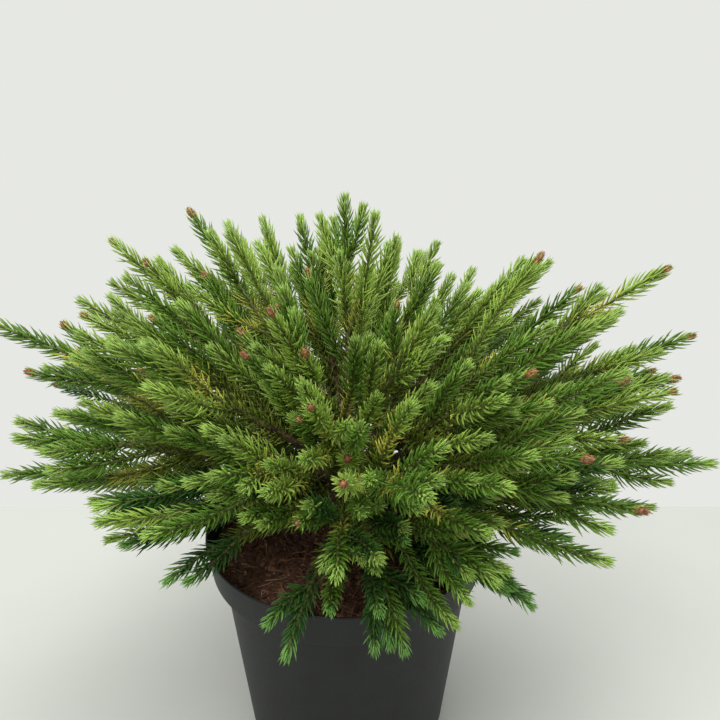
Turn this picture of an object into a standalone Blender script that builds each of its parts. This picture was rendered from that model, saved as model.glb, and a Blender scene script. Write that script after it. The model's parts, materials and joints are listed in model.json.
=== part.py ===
"""A dwarf Japanese cedar in a round nursery pot, modelled to real size in metres, +Z up.

The origin is the middle of the pot's flat underside. A short stem stands on the soil and carries every limb:
long side boughs, each ending where its mass of foliage begins, and shorter masses that leave the stem itself.
A mass is one leading shoot with side shoots, and a shoot is a slim core that three-sided rows of needles
stand out of. A needle that would touch a neighbouring mass, a limb, the pot or the soil is left off.
"""

import math

import bmesh
import bpy
import numpy as np
from mathutils.bvhtree import BVHTree

# Pot and soil, in metres
POT_HEIGHT = 0.190
RIM_RADIUS = 0.110
COLLAR_FOOT_RADIUS = 0.1062
COLLAR_HEIGHT = 0.027
BODY_TOP_RADIUS = 0.098
BODY_FOOT_RADIUS = 0.0818
BASE_RADIUS = 0.074
BASE_CHAMFER_HEIGHT = 0.012
WALL = 0.0020
POT_SIDES = 40
SOIL_LEVEL = 0.172
SOIL_FLAT_RADIUS = 0.022
SOIL_SWELL = 0.0035
GAP = 0.0003

# Stem and boughs
STEM_HEIGHT = 0.104
STEM_LEAN = (0.004, 0.006)
STEM_RADII = ((0.0, 0.0135), (0.006, 0.0105), (0.016, 0.0090), (0.045, 0.0078), (0.075, 0.0064), (0.104, 0.0046))
BOUGH_REACH = 0.2195
BOUGH_SHARE = 0.40
BOUGH_ROOT_RADIUS = 0.00275
BOUGH_TIP_RADIUS = 0.0023
TWIG_ROOT_RADIUS = 0.0023
LIMB_RADIUS = 0.00275
LOWEST_FOOT = 0.010
FOOT_SPAN = 0.088
FLATTEST = math.radians(-13)
STEEPEST = math.radians(80)
FOOT_SHIFTS = (0.0, 0.0015, -0.0015, 0.003, -0.003, 0.005, -0.005, 0.007, -0.007, 0.009, -0.009)
SIDE_SWINGS = (0.0, 0.008, -0.008, 0.016, -0.016)
FOOT_CHOICES = sorted(
    ((shift, swing) for shift in FOOT_SHIFTS for swing in SIDE_SWINGS), key=lambda way: 2 * abs(way[0]) + abs(way[1])
)

# Crown: each row is a leading shoot's bearing in degrees, its reach from the middle and its rise over the rim
TIERS = {
    "skirt": dict(
        arch=0.036,
        tips=((192, 0.182, 0.028), (222, 0.156, 0.026), (256, 0.146, -0.003), (285, 0.150, 0.004),
              (320, 0.163, 0.006), (356, 0.188, 0.025), (42, 0.185, 0.014), (92, 0.182, 0.010),
              (145, 0.188, 0.016)),
    ),
    "low": dict(
        arch=0.020,
        tips=((160, 0.264, 0.080), (186, 0.250, 0.060), (214, 0.186, 0.082), (269, 0.160, 0.072),
              (303, 0.170, 0.055), (331, 0.214, 0.080), (351, 0.263, 0.078), (30, 0.236, 0.082),
              (72, 0.226, 0.062), (118, 0.232, 0.066)),
    ),
    "middle": dict(
        arch=0.012,
        tips=((186, 0.241, 0.178), (205, 0.222, 0.126), (240, 0.150, 0.120), (284, 0.190, 0.140),
              (317, 0.192, 0.132), (341, 0.222, 0.148), (355, 0.239, 0.166), (14, 0.236, 0.126),
              (52, 0.215, 0.140), (98, 0.190, 0.150), (137, 0.216, 0.132), (162, 0.222, 0.163)),
    ),
    "upper": dict(
        arch=0.006,
        tips=((171, 0.168, 0.221), (205, 0.160, 0.178), (262, 0.122, 0.160), (318, 0.150, 0.172),
              (356, 0.217, 0.212), (25, 0.166, 0.198), (74, 0.150, 0.190), (124, 0.162, 0.196)),
    ),
    "crown": dict(
        arch=0.002,
        tips=((160, 0.118, 0.238), (48, 0.106, 0.206), (114, 0.087, 0.227), (242, 0.090, 0.203),
              (330, 0.070, 0.190), (90, 0.040, 0.250)),
    ),
}
# A whorl of side shoots leaves a leading shoot at each of these shares of its way
WHORLS = ((0.42, 1), (0.62, 1))
SIDE_SPREAD = (math.radians(28), math.radians(38))
SIDE_BEND = 0.62
SIDE_LENGTH = (0.84, 1.0)
GOLDEN_ANGLE = math.radians(137.5)
DOME_MIDDLE = (0.005, 0.0, POT_HEIGHT + 0.035)
DOME_RADIUS = 0.262
DOME_TOP = 0.212
DOME_DROP = 0.120

FIRST_SEED = 400

# Shoots and needles
CORE_RADIUS = 0.0030
CORE_TIP_RADIUS = 0.0019
TIP_LENGTH = 0.006
BARE_SHARE = 0.34
BARE_ROOT = 0.012
RING_STEP = 0.0135
RING_TWIST = math.radians(38)
NEEDLE_OUT = 0.0090
NEEDLE_FORWARD = 0.0080
TIP_NEEDLE_OUT = 0.0048
TIP_NEEDLE_FORWARD = 0.0105
CLEARANCE = 0.0005

PARTS = "Potted_cedar"
CUTTERS = "Cutters"


def clear_scene():
    """Take every object out of the scene."""
    for thing in list(bpy.data.objects):
        bpy.data.objects.remove(thing, do_unlink=True)


def new_collection(name):
    """Add a collection to the scene."""
    found = bpy.data.collections.new(name)
    bpy.context.scene.collection.children.link(found)
    return found


def plain_material(name, colour, roughness):
    """A matt finish in one colour."""
    material = bpy.data.materials.new(name)
    material.use_nodes = True
    shader = material.node_tree.nodes["Principled BSDF"]
    shader.inputs["Base Color"].default_value = (*colour, 1.0)
    shader.inputs["Roughness"].default_value = roughness
    shader.inputs["Metallic"].default_value = 0.0
    return material


def add_object(name, mesh, collection, material=None):
    """Put a mesh in the scene as a named object."""
    thing = bpy.data.objects.new(name, mesh)
    collection.objects.link(thing)
    if material:
        mesh.materials.clear()
        mesh.materials.append(material)
    return thing


def evaluated_mesh(thing):
    """The mesh that an object's modifiers and curve settings come to."""
    graph = bpy.context.evaluated_depsgraph_get()
    graph.update()
    return bpy.data.meshes.new_from_object(thing.evaluated_get(graph))


def turned(name, profile, steps, collection, material, closed=False):
    """A solid of revolution from (radius, height) points that run down its outer side. A closed one ends at its start."""
    mesh = bpy.data.meshes.new(name)
    ring = [(radius, 0.0, height) for radius, height in profile]
    edges = [(i, i + 1) for i in range(len(ring) - 1)]
    if closed:
        edges.append((len(ring) - 1, 0))
    edges = [(a, b) for a, b in edges if profile[a][0] > 0 or profile[b][0] > 0]
    mesh.from_pydata(ring, edges, [])
    thing = add_object(name, mesh, collection, material)
    screw = thing.modifiers.new("Turn", "SCREW")
    screw.axis = "Z"
    screw.steps = steps
    screw.render_steps = steps
    screw.use_merge_vertices = True
    screw.merge_threshold = 0.00005
    screw.use_normal_calculate = True
    return thing


def make_pot(collection, material):
    """The round container: a flat underside, a chamfer, a tapering body and a wide collar with a rounded rim."""
    collar_foot = POT_HEIGHT - COLLAR_HEIGHT
    lip = WALL / 2
    profile = [
        (RIM_RADIUS - lip, POT_HEIGHT),
        (RIM_RADIUS, POT_HEIGHT - lip),
        (COLLAR_FOOT_RADIUS, collar_foot),
        (BODY_TOP_RADIUS, collar_foot - 0.0008),
        (BODY_FOOT_RADIUS, BASE_CHAMFER_HEIGHT),
        (BASE_RADIUS, 0.0),
        (0.0, 0.0),
        (0.0, WALL),
        (BASE_RADIUS - WALL / 2, WALL),
        (BODY_FOOT_RADIUS - WALL, BASE_CHAMFER_HEIGHT + WALL / 2),
        (BODY_TOP_RADIUS - WALL, collar_foot + 0.0005),
        (COLLAR_FOOT_RADIUS - WALL, collar_foot + 0.0014),
        (RIM_RADIUS - WALL - lip, POT_HEIGHT - lip),
        (RIM_RADIUS - WALL, POT_HEIGHT),
    ]
    return turned("pot", profile, POT_SIDES, collection, material, closed=True)


def make_soil(collection, material):
    """The soil fills the pot to just under the rim, flat where the stem stands and swelling a little round it."""
    inset = WALL + GAP
    collar_foot = POT_HEIGHT - COLLAR_HEIGHT
    slope = (RIM_RADIUS - COLLAR_FOOT_RADIUS) / COLLAR_HEIGHT
    edge = COLLAR_FOOT_RADIUS + slope * (SOIL_LEVEL - collar_foot) - inset - GAP
    profile = [
        (0.0, SOIL_LEVEL),
        (SOIL_FLAT_RADIUS, SOIL_LEVEL),
        (SOIL_FLAT_RADIUS + 0.022, SOIL_LEVEL + SOIL_SWELL),
        (edge - 0.026, SOIL_LEVEL + SOIL_SWELL),
        (edge, SOIL_LEVEL),
        (COLLAR_FOOT_RADIUS - inset - 0.0003, collar_foot + 0.0020),
        (BODY_TOP_RADIUS - inset, collar_foot + 0.0009),
        (BODY_FOOT_RADIUS - inset - 0.0002, BASE_CHAMFER_HEIGHT + WALL / 2 + 0.0002),
        (BASE_RADIUS - WALL / 2 - GAP - 0.0005, WALL + GAP),
        (0.0, WALL + GAP),
    ]
    return turned("soil", profile, POT_SIDES, collection, material)


def unit(vector):
    """A vector made one long."""
    return vector / np.linalg.norm(vector)


def arc(start, middle, end, count):
    """Points along a curve that leaves start towards middle and comes in to end from middle."""
    t = np.linspace(0.0, 1.0, count)[:, None]
    return (1 - t) ** 2 * start + 2 * t * (1 - t) * middle + t * t * end


def path_length(path):
    """How long a run of points is."""
    return float(np.linalg.norm(np.diff(path, axis=0), axis=1).sum())


def along(path, distances):
    """The points at the given distances along a path."""
    steps = np.linalg.norm(np.diff(path, axis=0), axis=1)
    run = np.concatenate(([0.0], np.cumsum(steps)))
    return np.stack([np.interp(distances, run, path[:, axis]) for axis in range(3)], axis=1)


def stem_point(height):
    """The middle of the stem at a height over the soil."""
    share = height / STEM_HEIGHT
    return np.array([STEM_LEAN[0] * share, STEM_LEAN[1] * share * share, SOIL_LEVEL + height])


def at_bearing(bearing, reach, height):
    """A point at a bearing in degrees, a reach from the middle and a height over the floor."""
    angle = math.radians(bearing)
    return np.array([reach * math.cos(angle), reach * math.sin(angle), height])


def limb_path(tier, index, shift, swing):
    """The way of one limb, from inside the stem to the tip of its leading shoot. Steeper limbs leave higher up."""
    bearing, reach, rise = tier["tips"][index]
    end = at_bearing(bearing, reach, POT_HEIGHT + rise)
    slope = math.atan2(end[2] - stem_point(STEM_HEIGHT / 2)[2], reach)
    foot = LOWEST_FOOT + FOOT_SPAN * (slope - FLATTEST) / (STEEPEST - FLATTEST) + shift
    start = stem_point(foot)
    aside = at_bearing(bearing + 90, swing, 0.0)
    middle = (start + end) / 2 + np.array([0.0, 0.0, tier["arch"]]) + aside
    return arc(start, middle, end, 33)


def outside_stem(path):
    """A finely divided copy of a path, less what lies inside the stem."""
    fine = along(path, np.linspace(0.0, path_length(path), 140))
    heights = np.clip(fine[:, 2] - SOIL_LEVEL, 0.0, STEM_HEIGHT)
    knots, radii = zip(*STEM_RADII)
    middles = np.array([stem_point(height) for height in heights])
    return fine[np.linalg.norm(fine - middles, axis=1) > np.interp(heights, knots, radii)]


def place_limbs():
    """Give each limb a foot on the stem, moved up or down until its way is clear of those placed before it."""
    placed = []
    limbs = []
    for tier_name, tier in TIERS.items():
        for index in range(len(tier["tips"])):
            for shift, swing in FOOT_CHOICES:
                path = limb_path(tier, index, shift, swing)
                fine = outside_stem(path)
                spans = [np.linalg.norm(fine[:, None] - other[None], axis=2).min() for other in placed]
                if not spans or min(spans) > 2 * LIMB_RADIUS + GAP:
                    break
            else:
                raise ValueError(f"limb {tier_name} {index + 1} finds no clear way, {min(spans):.4f}")
            placed.append(fine)
            limbs.append((f"{tier_name}_{index + 1}", path, tier["tips"][index][1] > BOUGH_REACH))
    return limbs


def in_dome(point):
    """Whether a side shoot's tip lies within the rounded outline of the crown."""
    offset = point - np.array(DOME_MIDDLE)
    height = DOME_TOP if offset[2] > 0 else DOME_DROP
    return (offset[0] ** 2 + offset[1] ** 2) / DOME_RADIUS ** 2 + offset[2] ** 2 / height ** 2 < 1.0


def side_path(path, share, roll, spread, length):
    """The way of a side shoot: it leaves its leader at a share of the way and bends back towards the same course."""
    last = len(path) - 1
    place = int(round(share * last))
    tangent = unit(path[min(place + 1, last)] - path[max(place - 1, 0)])
    side = unit(np.cross(tangent, np.array([0.0, 0.0, 1.0])))
    over = np.cross(side, tangent)
    away = math.cos(roll) * side + math.sin(roll) * over
    leave = math.cos(spread) * tangent + math.sin(spread) * away
    bent = spread * (1.0 - SIDE_BEND)
    finish = math.cos(bent) * tangent + math.sin(bent) * away
    elbow = path[place] + leave * length * 0.42
    return arc(path[place], elbow, elbow + finish * length * 0.58, 17)


def side_paths(path, chance):
    """The ways of all side shoots of one mass, each cut back until its tip is inside the crown's outline."""
    whole = path_length(path)
    turn = chance.uniform(0.0, 2 * math.pi)
    found = []
    for share, count in WHORLS:
        for number in range(count):
            turn += GOLDEN_ANGLE
            roll = turn + chance.uniform(-0.3, 0.3)
            spread = chance.uniform(*SIDE_SPREAD)
            length = whole * (1.0 - share) * chance.uniform(*SIDE_LENGTH)
            way = side_path(path, share, roll, spread, length)
            while not in_dome(way[-1]) and length > 0.03:
                length *= 0.94
                way = side_path(path, share, roll, spread, length)
            found.append(way)
    return found


def frames(points):
    """A tangent and two square directions at each point, carried along without twisting."""
    tangents = np.gradient(points, axis=0)
    tangents /= np.linalg.norm(tangents, axis=1)[:, None]
    first = np.cross(tangents[0], np.array([0.3, 0.2, 1.0]))
    normals = [unit(first)]
    for tangent in tangents[1:]:
        carried = normals[-1] - tangent * np.dot(normals[-1], tangent)
        normals.append(unit(carried))
    normals = np.array(normals)
    return tangents, normals, np.cross(tangents, normals)


def new_shoot(path, root_radius, bare):
    """A shoot's rings: a bare root, then a core whose every side carries a needle, up to the tip."""
    whole = path_length(path)
    rows = max(3, int(round((whole - bare - TIP_LENGTH) / RING_STEP)))
    leafy = np.linspace(bare, whole - TIP_LENGTH, rows + 1)
    root = np.linspace(0.0, bare, max(2, int(bare / 0.025) + 1))[:-1]
    distances = np.concatenate((root, leafy))
    share = (leafy - bare) / (whole - bare)
    radii = np.concatenate((
        np.interp(root, (0.0, bare), (root_radius, CORE_RADIUS * 0.8)),
        CORE_RADIUS + (CORE_TIP_RADIUS - CORE_RADIUS) * share,
    ))
    shoot = dict(points=along(path, distances), tip=path[-1], radii=radii, first=len(root), rows=rows)
    shoot["needles"] = {(row, side) for row in range(rows) for side in range(3)}
    return shoot


def shoot_mesh(shoot, grow=0.0):
    """A shoot's points, triangles and, for each triangle, the needle that it belongs to or None for the core."""
    points = shoot["points"]
    tangents, normals, sides = frames(points)
    verts = []
    for place, (point, tangent, normal, side) in enumerate(zip(points, tangents, normals, sides)):
        for corner in range(3):
            angle = place * RING_TWIST + corner * 2 * math.pi / 3
            radius = shoot["radii"][place] + grow
            verts.append(point + radius * (math.cos(angle) * normal + math.sin(angle) * side))
    faces = []
    owners = []

    def add(owner, *corners):
        faces.append(corners)
        owners.append(owner)

    add(("core", 0), 0, 2, 1)
    for ring in range(len(points) - 1):
        row = ring - shoot["first"]
        for corner in range(3):
            after = (corner + 1) % 3
            a, b = 3 * ring + corner, 3 * ring + after
            c, d = b + 3, a + 3
            if (row, corner) not in shoot["needles"]:
                add(("core", ring), a, b, c)
                add(("core", ring), a, c, d)
                continue
            foot = (verts[a] + verts[b] + verts[c] + verts[d]) / 4
            axis = (points[ring] + points[ring + 1]) / 2
            outward = unit(foot - axis)
            share = max(0.0, (row + 1.5 - (shoot["rows"] - 2)) / 2.5)
            out = NEEDLE_OUT + (TIP_NEEDLE_OUT - NEEDLE_OUT) * min(1.0, share) + grow
            ahead = NEEDLE_FORWARD + (TIP_NEEDLE_FORWARD - NEEDLE_FORWARD) * min(1.0, share) + grow
            verts.append(foot + outward * out + tangents[ring] * ahead)
            for start, end in ((a, b), (b, c), (c, d), (d, a)):
                add(("needle", row, corner), start, end, len(verts) - 1)
    end = 3 * (len(points) - 1)
    verts.append(shoot["tip"] + tangents[-1] * grow)
    for corner in range(3):
        add(("core", len(points) - 1), end + corner, end + (corner + 1) % 3, len(verts) - 1)
    return np.array(verts), faces, owners


def tree_of(verts, faces):
    """A search tree over triangles."""
    return BVHTree.FromPolygons([tuple(v) for v in verts], faces, all_triangles=True)


def tree_of_object(thing):
    """A search tree over an object's evaluated mesh."""
    mesh = evaluated_mesh(thing)
    mesh.calc_loop_triangles()
    verts = [tuple(thing.matrix_world @ vertex.co) for vertex in mesh.vertices]
    faces = [tuple(triangle.vertices) for triangle in mesh.loop_triangles]
    bpy.data.meshes.remove(mesh)
    return BVHTree.FromPolygons(verts, faces, all_triangles=True)


def clear_of(shoot, trees, free_rings=0):
    """Take off the needles that come too near the given trees. Says whether the core itself is clear of them."""
    while True:
        verts, faces, owners = shoot_mesh(shoot, CLEARANCE)
        own = tree_of(verts, faces)
        touched = {owners[face] for tree in trees for face, other in own.overlap(tree)}
        needles = {owner[1:] for owner in touched if owner[0] == "needle"}
        if not needles:
            return all(owner[1] < free_rings for owner in touched)
        shoot["needles"] -= needles


def spare_needles(parent, child):
    """Take off the parent's needles that the child's core runs through."""
    verts, faces, owners = shoot_mesh(parent, CLEARANCE)
    bare_child = dict(child, needles=set())
    child_verts, child_faces, child_owners = shoot_mesh(bare_child)
    for face, other in tree_of(verts, faces).overlap(tree_of(child_verts, child_faces)):
        if owners[face][0] == "needle":
            parent["needles"].discard(owners[face][1:])


def closed_mesh(name, verts, faces):
    """A mesh from points and triangles."""
    mesh = bpy.data.meshes.new(name)
    mesh.from_pydata([tuple(v) for v in verts], [], faces)
    mesh.validate()
    return mesh


def tapered_tube(name, points, radii, resolution, collection):
    """A limb: a poly curve with a radius at each point, turned into a closed mesh."""
    curve = bpy.data.curves.new(name, "CURVE")
    curve.dimensions = "3D"
    curve.bevel_depth = 1.0
    curve.bevel_resolution = resolution
    curve.use_fill_caps = True
    spline = curve.splines.new("POLY")
    spline.points.add(len(points) - 1)
    for knot, place, radius in zip(spline.points, points, radii):
        knot.co = (*place, 1.0)
        knot.radius = radius
    thing = bpy.data.objects.new(name, curve)
    collection.objects.link(thing)
    mesh = evaluated_mesh(thing)
    bpy.data.objects.remove(thing, do_unlink=True)
    work = bmesh.new()
    work.from_mesh(mesh)
    bmesh.ops.remove_doubles(work, verts=work.verts, dist=0.00001)
    bmesh.ops.recalc_face_normals(work, faces=work.faces)
    work.to_mesh(mesh)
    work.free()
    return add_object(name, mesh, collection)


def join_and_trim(thing, extras, cutter):
    """One Boolean union of a shoot with its side shoots, then a cut clear of the stem, both applied."""
    if extras:
        group = bpy.data.collections.new("Side_shoots")
        for extra in extras:
            group.objects.link(extra)
        union = thing.modifiers.new("Union", "BOOLEAN")
        union.operation = "UNION"
        union.operand_type = "COLLECTION"
        union.collection = group
        union.solver = "EXACT"
    if cutter:
        cut = thing.modifiers.new("Cut", "BOOLEAN")
        cut.operation = "DIFFERENCE"
        cut.object = cutter
        cut.solver = "EXACT"
    mesh = evaluated_mesh(thing)
    thing.modifiers.clear()
    thing.data = mesh
    if extras:
        for extra in extras:
            bpy.data.objects.remove(extra, do_unlink=True)
        bpy.data.collections.remove(group)
    keep_main_body(mesh)


def keep_main_body(mesh):
    """Keep a mesh's largest shell, so that a sealed hollow is filled and a loose scrap is dropped."""
    work = bmesh.new()
    work.from_mesh(mesh)
    bmesh.ops.triangulate(work, faces=work.faces)
    left = set(work.faces)
    shells = []
    while left:
        shell = []
        edge_of = [left.pop()]
        while edge_of:
            face = edge_of.pop()
            shell.append(face)
            for edge in face.edges:
                for other in edge.link_faces:
                    if other in left:
                        left.discard(other)
                        edge_of.append(other)
        shells.append(shell)
    shells.sort(key=len, reverse=True)
    for shell in shells[1:]:
        bmesh.ops.delete(work, geom=shell, context="FACES")
    loose = [vertex for vertex in work.verts if not vertex.link_faces]
    bmesh.ops.delete(work, geom=loose, context="VERTS")
    work.to_mesh(mesh)
    work.free()


def stem_knots(foot_height):
    """Points up the middle of the stem. The lowest two stand plumb, so that the foot is cut level."""
    points = [stem_point(height) for height, radius in STEM_RADII]
    points[0] = np.array([points[1][0], points[1][1], foot_height])
    return points


def make_stem(collection, material):
    """The short stem: a flared foot cut flat at the soil, a slight lean and a true taper."""
    points = stem_knots(SOIL_LEVEL + GAP)
    stem = tapered_tube("stem", points, [radius for height, radius in STEM_RADII], 3, collection)
    stem.data.materials.append(material)
    return stem


def make_stem_cutter(collection):
    """The stem grown by a gap, which limbs are cut clear with."""
    points = stem_knots(SOIL_LEVEL - GAP)
    points[-1] = points[-1] + np.array([0.0, 0.0, GAP])
    cutter = tapered_tube("stem_cutter", points, [radius + GAP for height, radius in STEM_RADII], 3, collection)
    cutter.hide_render = True
    cutter.display_type = "WIRE"
    return cutter


def make_bough(name, path, collection, cutter, material):
    """One tapering bough, from the stem to where its mass begins."""
    end = path_length(path) * BOUGH_SHARE
    distances = np.linspace(0.0, end, 7)
    radii = np.linspace(BOUGH_ROOT_RADIUS, BOUGH_TIP_RADIUS, 7)
    bough = tapered_tube(name, along(path, distances), radii, 1, collection)
    join_and_trim(bough, [], cutter)
    bough.data.materials.append(material)
    return bough


def make_mass(name, path, support, chance, taken, collection, cutter, material):
    """One mass of foliage: a leading shoot and its side shoots, fused, clear of everything taken so far.

    Its support is the bough that it follows or, where it has none, the stem that it is cut clear of.
    """
    if support["bough"]:
        whole = path_length(path)
        start = whole * BOUGH_SHARE + GAP
        leader_path = along(path, np.linspace(start, whole, 33))
        leader = new_shoot(leader_path, BOUGH_TIP_RADIUS, BARE_ROOT)
    else:
        leader = new_shoot(path, TWIG_ROOT_RADIUS, path_length(path) * BARE_SHARE)
    ways = side_paths(path, chance)
    clear_of(leader, taken)
    clear_of(leader, [support["tree"]])
    shoots = [leader]
    for way in ways:
        side = new_shoot(way, TWIG_ROOT_RADIUS * 0.8, BARE_ROOT)
        others = [tree_of(*shoot_mesh(other)[:2]) for other in shoots[1:]]
        if not clear_of(side, taken + others + [support["tree"]]):
            continue
        clear_of(side, [tree_of(*shoot_mesh(dict(leader, needles=set()))[:2])], 2)
        spare_needles(leader, side)
        clear_of(side, [tree_of(*shoot_mesh(leader)[:2])], 2)
        shoots.append(side)
    things = []
    for number, shoot in enumerate(shoots):
        verts, faces, owners = shoot_mesh(shoot)
        things.append(add_object(name if number == 0 else f"{name}_side_{number}", closed_mesh(name, verts, faces),
                                 collection))
    join_and_trim(things[0], things[1:], None if support["bough"] else cutter)
    things[0].data.materials.append(material)
    return things[0]


def main():
    """Build the pot, the soil, the stem, the boughs and the masses of foliage."""
    clear_scene()
    parts = new_collection(PARTS)
    cutters = new_collection(CUTTERS)
    plastic = plain_material("pot_plastic", (0.028, 0.030, 0.029), 0.55)
    bark_mix = plain_material("soil_mix", (0.070, 0.032, 0.018), 0.95)
    bark = plain_material("bark", (0.125, 0.070, 0.040), 0.85)
    foliage = plain_material("foliage", (0.075, 0.165, 0.040), 0.60)
    pot = make_pot(parts, plastic)
    soil = make_soil(parts, bark_mix)
    stem = make_stem(parts, bark)
    cutter = make_stem_cutter(cutters)
    stem_tree = tree_of_object(stem)
    taken = {"pot": tree_of_object(pot), "soil": tree_of_object(soil)}
    limbs = place_limbs()
    for name, path, has_bough in limbs:
        if has_bough:
            taken[f"bough_{name}"] = tree_of_object(make_bough(f"bough_{name}", path, parts, cutter, bark))
    for number, (name, path, has_bough) in enumerate(limbs):
        chance = np.random.default_rng(FIRST_SEED + number)
        own = f"bough_{name}"
        others = [tree for key, tree in taken.items() if key != own]
        support = dict(bough=has_bough, tree=taken.get(own, stem_tree))
        mass = make_mass(f"mass_{name}", path, support, chance, others, parts, cutter, foliage)
        taken[f"mass_{name}"] = tree_of_object(mass)


main()
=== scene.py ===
"""Looks of a dwarf Japanese cedar in a round nursery pot, laid out as an add-on and run as a script.

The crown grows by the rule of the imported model, with the same limbs and side shoots, and is carried to
finer shoots. Needles stand in a spiral round every shoot, and rosettes or brown buds end them. The limbs
have bark, and chips and fibres lie on the potting mix.
"""

import functools
import json
import math

import bmesh
import bpy
import numpy as np
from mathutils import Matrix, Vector

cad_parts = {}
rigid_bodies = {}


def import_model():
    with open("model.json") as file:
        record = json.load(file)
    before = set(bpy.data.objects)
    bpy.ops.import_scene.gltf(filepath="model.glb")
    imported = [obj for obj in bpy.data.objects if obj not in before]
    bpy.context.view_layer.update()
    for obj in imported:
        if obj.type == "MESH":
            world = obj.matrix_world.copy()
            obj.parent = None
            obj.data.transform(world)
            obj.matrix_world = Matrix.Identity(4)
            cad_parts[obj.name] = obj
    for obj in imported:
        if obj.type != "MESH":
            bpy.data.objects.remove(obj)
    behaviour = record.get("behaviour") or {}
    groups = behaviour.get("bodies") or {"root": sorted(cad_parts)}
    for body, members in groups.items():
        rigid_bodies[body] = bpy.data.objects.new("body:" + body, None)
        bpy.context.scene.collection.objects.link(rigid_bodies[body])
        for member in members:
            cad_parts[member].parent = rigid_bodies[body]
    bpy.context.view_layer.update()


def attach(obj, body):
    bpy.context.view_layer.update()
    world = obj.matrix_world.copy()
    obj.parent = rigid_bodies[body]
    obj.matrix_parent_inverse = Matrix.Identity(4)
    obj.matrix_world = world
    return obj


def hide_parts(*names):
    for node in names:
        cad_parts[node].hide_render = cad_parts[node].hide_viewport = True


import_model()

bl_info = {
    "name": "Potted dwarf cedar",
    "version": (1, 0, 0),
    "blender": (4, 5, 0),
    "location": "View3D > Sidebar > Cedar",
    "description": "Builds the pot, soil, limbs, needles and buds of a potted dwarf Japanese cedar",
    "category": "Add Mesh",
}

# Pot, soil and stem, in metres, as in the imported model
POT_HEIGHT = 0.190
RIM_RADIUS = 0.110
COLLAR_FOOT_RADIUS = 0.1062
COLLAR_HEIGHT = 0.027
BODY_TOP_RADIUS = 0.098
BODY_FOOT_RADIUS = 0.0818
BASE_RADIUS = 0.074
BASE_CHAMFER_HEIGHT = 0.012
WALL = 0.0020
GAP = 0.0003
SOIL_LEVEL = 0.172
STEM_HEIGHT = 0.104
STEM_LEAN = (0.004, 0.006)
STEM_RADII = (
    (0.0, 0.0135), (0.006, 0.0105), (0.016, 0.0090), (0.045, 0.0078), (0.075, 0.0064), (0.104, 0.0046),
)
BOUGH_REACH = 0.2195
BOUGH_SHARE = 0.40
BOUGH_ROOT_RADIUS = 0.00275
BOUGH_TIP_RADIUS = 0.0023
LIMB_RADIUS = 0.00275
LOWEST_FOOT = 0.010
FOOT_SPAN = 0.088
FLATTEST = math.radians(-13)
STEEPEST = math.radians(80)
FOOT_SHIFTS = (0.0, 0.0015, -0.0015, 0.003, -0.003, 0.005, -0.005, 0.007, -0.007, 0.009, -0.009)
SIDE_SWINGS = (0.0, 0.008, -0.008, 0.016, -0.016)
FOOT_CHOICES = sorted(
    ((shift, swing) for shift in FOOT_SHIFTS for swing in SIDE_SWINGS),
    key=lambda way: 2 * abs(way[0]) + abs(way[1]),
)

# Crown: each row is a leading shoot's bearing in degrees, its reach and its rise over the rim
TIERS = {
    "skirt": dict(
        arch=0.036,
        tips=((192, 0.182, 0.028), (222, 0.156, 0.026), (256, 0.146, -0.003), (285, 0.150, 0.004),
              (320, 0.163, 0.006), (356, 0.188, 0.025), (42, 0.185, 0.014), (92, 0.182, 0.010),
              (145, 0.188, 0.016)),
    ),
    "low": dict(
        arch=0.020,
        tips=((160, 0.264, 0.080), (186, 0.250, 0.060), (214, 0.186, 0.082), (269, 0.160, 0.072),
              (303, 0.170, 0.055), (331, 0.214, 0.080), (351, 0.263, 0.078), (30, 0.236, 0.082),
              (72, 0.226, 0.062), (118, 0.232, 0.066)),
    ),
    "middle": dict(
        arch=0.012,
        tips=((186, 0.241, 0.178), (205, 0.222, 0.126), (240, 0.150, 0.120), (284, 0.190, 0.140),
              (317, 0.192, 0.132), (341, 0.222, 0.148), (355, 0.239, 0.166), (14, 0.236, 0.126),
              (52, 0.215, 0.140), (98, 0.190, 0.150), (137, 0.216, 0.132), (162, 0.222, 0.163)),
    ),
    "upper": dict(
        arch=0.006,
        tips=((171, 0.168, 0.221), (205, 0.160, 0.178), (262, 0.122, 0.160), (318, 0.150, 0.172),
              (356, 0.217, 0.212), (25, 0.166, 0.198), (74, 0.150, 0.190), (124, 0.162, 0.196)),
    ),
    "crown": dict(
        arch=0.002,
        tips=((160, 0.118, 0.238), (48, 0.106, 0.206), (114, 0.087, 0.227), (242, 0.090, 0.203),
              (330, 0.070, 0.190), (90, 0.040, 0.250)),
    ),
}
LIMB_POINTS = 33
CLEARANCE_POINTS = 140

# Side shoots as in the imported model: one leaves a leading shoot at each of these shares of its way
SIDE_SHARES = (0.42, 0.62)
SIDE_SPREAD = (math.radians(28), math.radians(38))
SIDE_LENGTH = (0.84, 1.0)
SIDE_WOBBLE = 0.3
SIDE_BEND = 0.62
SIDE_POINTS = 17
ELBOW_SHARE = 0.42
SHORTEST_SIDE = 0.03
CUT_BACK = 0.94
GOLDEN_ANGLE = math.radians(137.5)
DOME_MIDDLE = (0.005, 0.0, POT_HEIGHT + 0.035)
DOME_RADIUS = 0.262
DOME_TOP = 0.212
DOME_DROP = 0.120
FIRST_SEED = 400

# Finer side shoots, which only the looks have
FINE_SHARES = (0.13, 0.20, 0.28, 0.38, 0.50, 0.60, 0.72)
FINE_SPREAD = (math.radians(20), math.radians(46))
FINE_LENGTH = (0.55, 0.92)
FINE_SEED = 7100
OPEN_SKIRT_LIMBS = (0, 1, 2)
ROOM_OVER_SOIL = 0.004
ROOM_AT_FOOT = 0.002

# Bare wood at the foot of a shoot: a share of a leading shoot's way, and a length on a side shoot
BOUGH_BARE_SHARE = 0.306
STEM_BARE_SHARE = 0.255
SIDE_BARE = 0.006

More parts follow.
